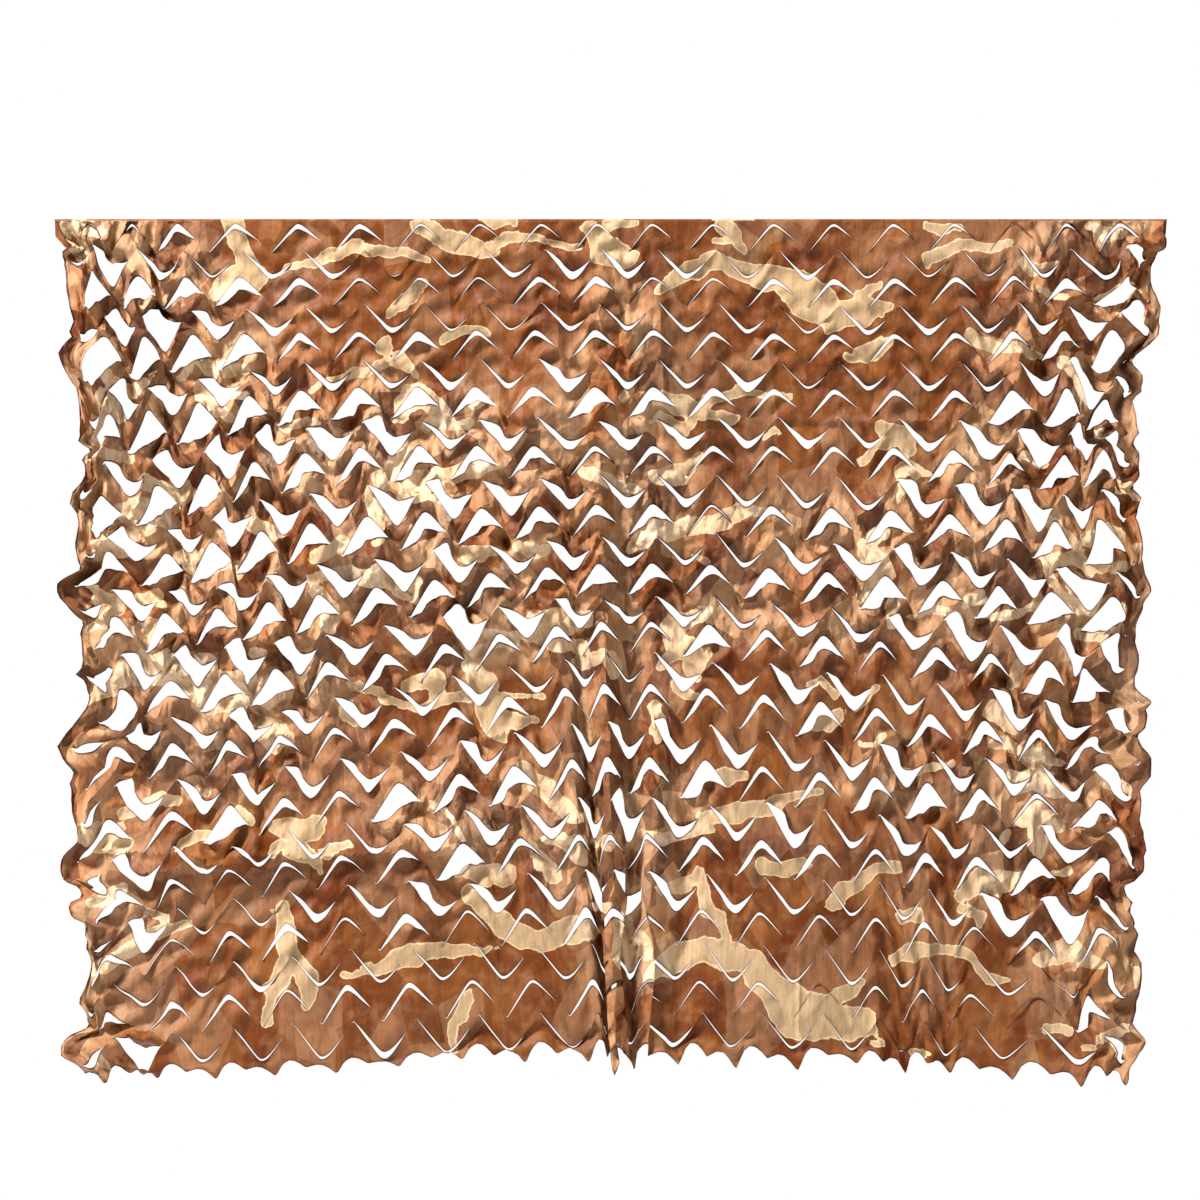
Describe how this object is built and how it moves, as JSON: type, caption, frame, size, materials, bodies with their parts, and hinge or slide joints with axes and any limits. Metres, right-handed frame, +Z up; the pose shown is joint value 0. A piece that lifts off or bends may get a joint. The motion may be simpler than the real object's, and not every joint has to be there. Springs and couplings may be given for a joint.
{
  "type": "camouflage netting",
  "caption": "Desert camouflage net, a sheet of printed cloth die cut with rows of curved slits that open into gaps, hung from its top edge with a bitten lower edge.",
  "frame": {"origin": "middle of the top edge, at the top of the fold over the line that holds the net", "axes": "+Z up, the net hangs down -Z; +X along the top edge; the face of the net looks along -Y"},
  "size_m": [1.9211, 0.0773, 1.4916],
  "materials": {
    "desert_cloth": "printed satin weave, brown ground with tan shapes"
  },
  "bodies": {
    "root": {"netting_panel": "desert_cloth"}
  },
  "joints": []
}
